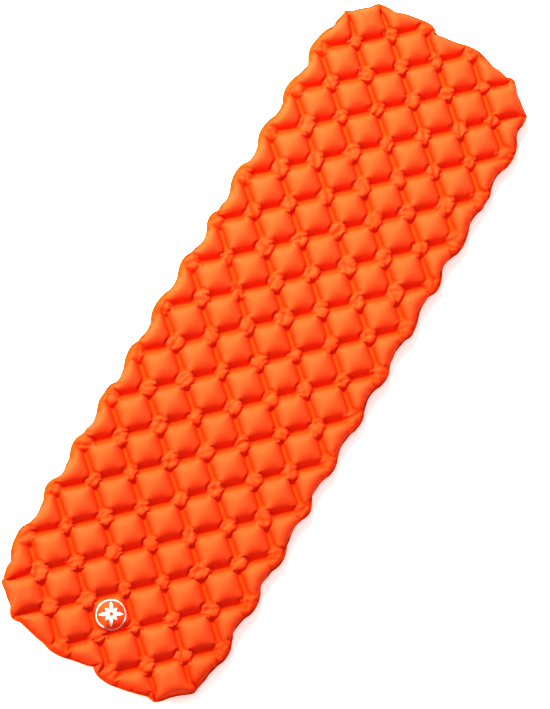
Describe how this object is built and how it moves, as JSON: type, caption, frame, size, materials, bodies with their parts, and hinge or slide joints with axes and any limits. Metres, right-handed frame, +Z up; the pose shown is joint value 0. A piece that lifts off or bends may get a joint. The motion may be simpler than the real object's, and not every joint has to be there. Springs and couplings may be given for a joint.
{
  "type": "inflatable sleeping pad",
  "caption": "Rectangular air sleeping pad with a diagonal grid of welded pillows, a scalloped welded rim and a two-stage flat valve underneath.",
  "frame": {"origin": "on the ground under the middle of the pad", "axes": "+Z up, +Y along the pad towards the head end, +X across the pad"},
  "size_m": [0.59, 1.9, 0.0602],
  "materials": {
    "shell_top": "satin coated ripstop",
    "shell_bottom": "satin coated ripstop",
    "print_white": "screen-printed film",
    "tpu_flange": "translucent satin",
    "valve_grey": "moulded, fine texture",
    "cap_black": "moulded, fine texture",
    "silicone": "translucent silicone",
    "pin_steel": "drawn wire"
  },
  "bodies": {
    "body": {"top_skin": "shell_top", "bottom_skin": "shell_bottom", "badge": "print_white", "valve_flange": "tpu_flange", "valve_body": "valve_grey", "deflation_hinge_pin": "pin_steel"},
    "deflation_lid": {"deflation_cap": "cap_black", "deflation_gasket": "silicone", "inflation_hinge_pin": "pin_steel", "flap_peg": "valve_grey"},
    "inflation_lid": {"inflation_cap": "cap_black", "inflation_gasket": "silicone"},
    "flap": {"check_flap": "silicone"}
  },
  "joints": [
    {"name": "deflation_cap_hinge", "type": "hinge", "parent": "body", "child": "deflation_lid", "pos_m": [-0.20325, 0.83915, 0.0046], "axis": [-1, 0, 0], "range_deg": [0, 120]},
    {"name": "inflation_cap_hinge", "type": "hinge", "parent": "deflation_lid", "child": "inflation_lid", "pos_m": [-0.18785, 0.86515, 0.0019], "axis": [0, -1, 0], "range_deg": [0, 165]},
    {"name": "check_flap_lift", "type": "slide", "parent": "deflation_lid", "child": "flap", "axis": [0, 0, 1], "range_m": [0, 0.002]}
  ]
}
